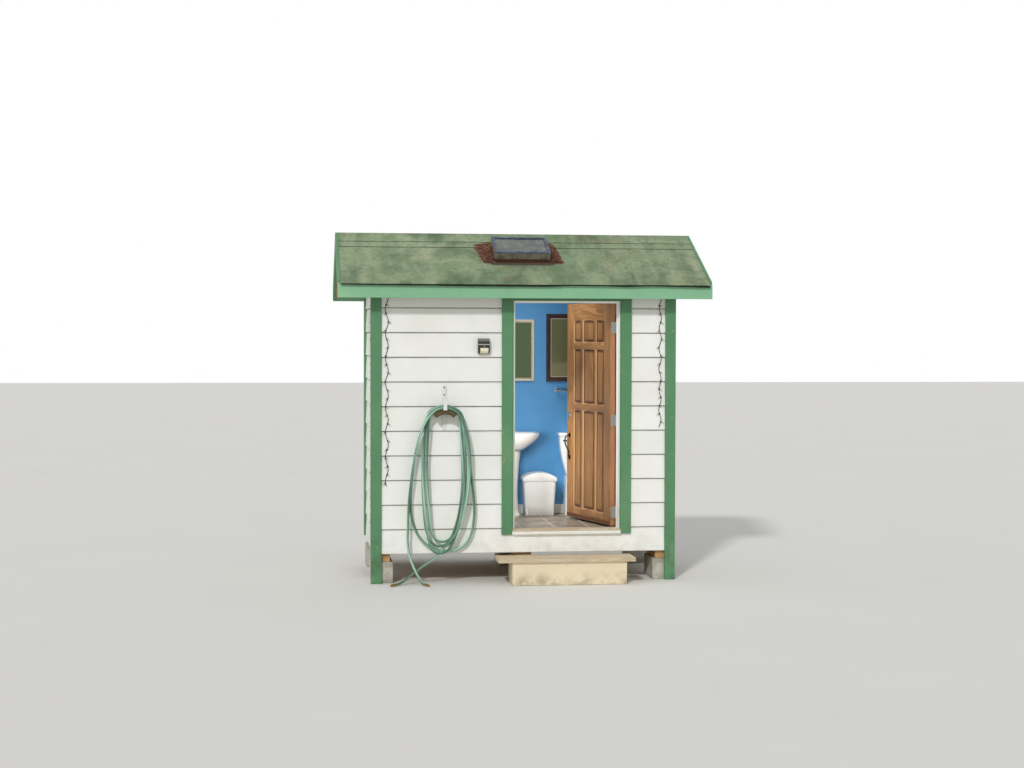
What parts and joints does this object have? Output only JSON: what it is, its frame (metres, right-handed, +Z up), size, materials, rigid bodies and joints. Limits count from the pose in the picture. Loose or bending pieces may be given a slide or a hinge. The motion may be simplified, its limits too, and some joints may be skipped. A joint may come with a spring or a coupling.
{
  "type": "wooden outhouse",
  "caption": "Small gabled wooden outhouse on blocks: lap siding, panelled door standing open into a washroom, roll roofing, curb skylight and a step.",
  "frame": {"origin": "on the lowest ground, midway along the roof and midway between the step's front edge and the roof's back edge", "axes": "+X to the right as one faces the door, -Y out of the front wall, +Z up"},
  "size_m": [3.34, 2.032, 3.1542],
  "materials": {
    "white_siding": "satin paint",
    "green_trim": "satin paint",
    "pale_green_trim": "satin paint",
    "blue_lining": "eggshell paint",
    "white_paint": "satin paint",
    "bare_timber": "weathered",
    "pale_timber": "weathered",
    "plywood": "bare",
    "concrete": "cast concrete",
    "floor_tile": "satin tile",
    "roll_roofing": "mineral surfaced",
    "dark_timber": "stained",
    "skylight_metal": "weathered",
    "skylight_glass": "clear",
    "stained_door": "stained satin",
    "hinge_steel": "brushed",
    "dark_bronze": "satin",
    "sweep_rubber": "matt",
    "lamp_housing": "satin",
    "string_wire": "matt",
    "hook_paint": "satin",
    "hose_rubber": "satin",
    "coupling_brass": "worn",
    "china": "glazed",
    "chrome": "polished",
    "mirror_frame": "satin",
    "picture_frame": "satin",
    "bin_plastic": "satin",
    "baked_tread": "weathered"
  },
  "bodies": {
    "hut": {"footing_blocks": "concrete", "footing_packers": "bare_timber", "floor_joists": "bare_timber", "floor_deck": "plywood", "floor_tiles": "floor_tile", "baseboards": "white_paint", "front_wall_left": "blue_lining", "front_wall_right": "blue_lining", "front_wall_head": "blue_lining", "left_wall": "blue_lining", "right_wall": "blue_lining", "back_wall": "blue_lining", "siding_front_base": "white_siding", "siding_front": "white_siding", "siding_left": "white_siding", "siding_right": "white_siding", "siding_back": "white_siding", "corner_boards": "green_trim", "door_casings": "green_trim", "door_frame": "white_paint", "door_threshold": "bare_timber", "door_sill": "white_paint", "rafters": "pale_timber", "ridge_board": "pale_timber", "eave_blocking": "white_paint", "roof_deck_front": "plywood", "roof_deck_back": "plywood", "roofing_front": "roll_roofing", "roofing_back": "roll_roofing", "ridge_cap": "roll_roofing", "fascias": "pale_green_trim", "barge_boards": "green_trim", "skylight_curb": "dark_timber", "skylight_frame": "skylight_metal", "skylight_glass": "skylight_glass", "step_tread": "baked_tread", "step_base": "pale_timber", "jamb_hinges": "hinge_steel", "wall_light": "lamp_housing", "light_strings": "string_wire", "hose_hook": "hook_paint", "hose_saddle": "dark_timber", "hose_hank": "hose_rubber", "hose_tails": "hose_rubber", "hose_couplings": "coupling_brass", "washbasin": "china", "basin_pedestal": "china", "basin_tap": "chrome", "wall_mirror": "mirror_frame", "picture": "picture_frame", "towel_rail": "chrome", "toilet_bowl": "china", "toilet_tank": "china", "waste_bin": "bin_plastic"},
    "door": {"door_leaf": "stained_door", "door_hinges": "hinge_steel", "door_handle": "dark_bronze", "door_deadbolt": "dark_bronze", "door_sweep": "sweep_rubber"}
  },
  "joints": [
    {"name": "door_hinge", "type": "hinge", "parent": "hut", "child": "door", "pos_m": [0.8525, -0.604, 0], "axis": [0, 0, 1], "range_deg": [0, 74]}
  ]
}
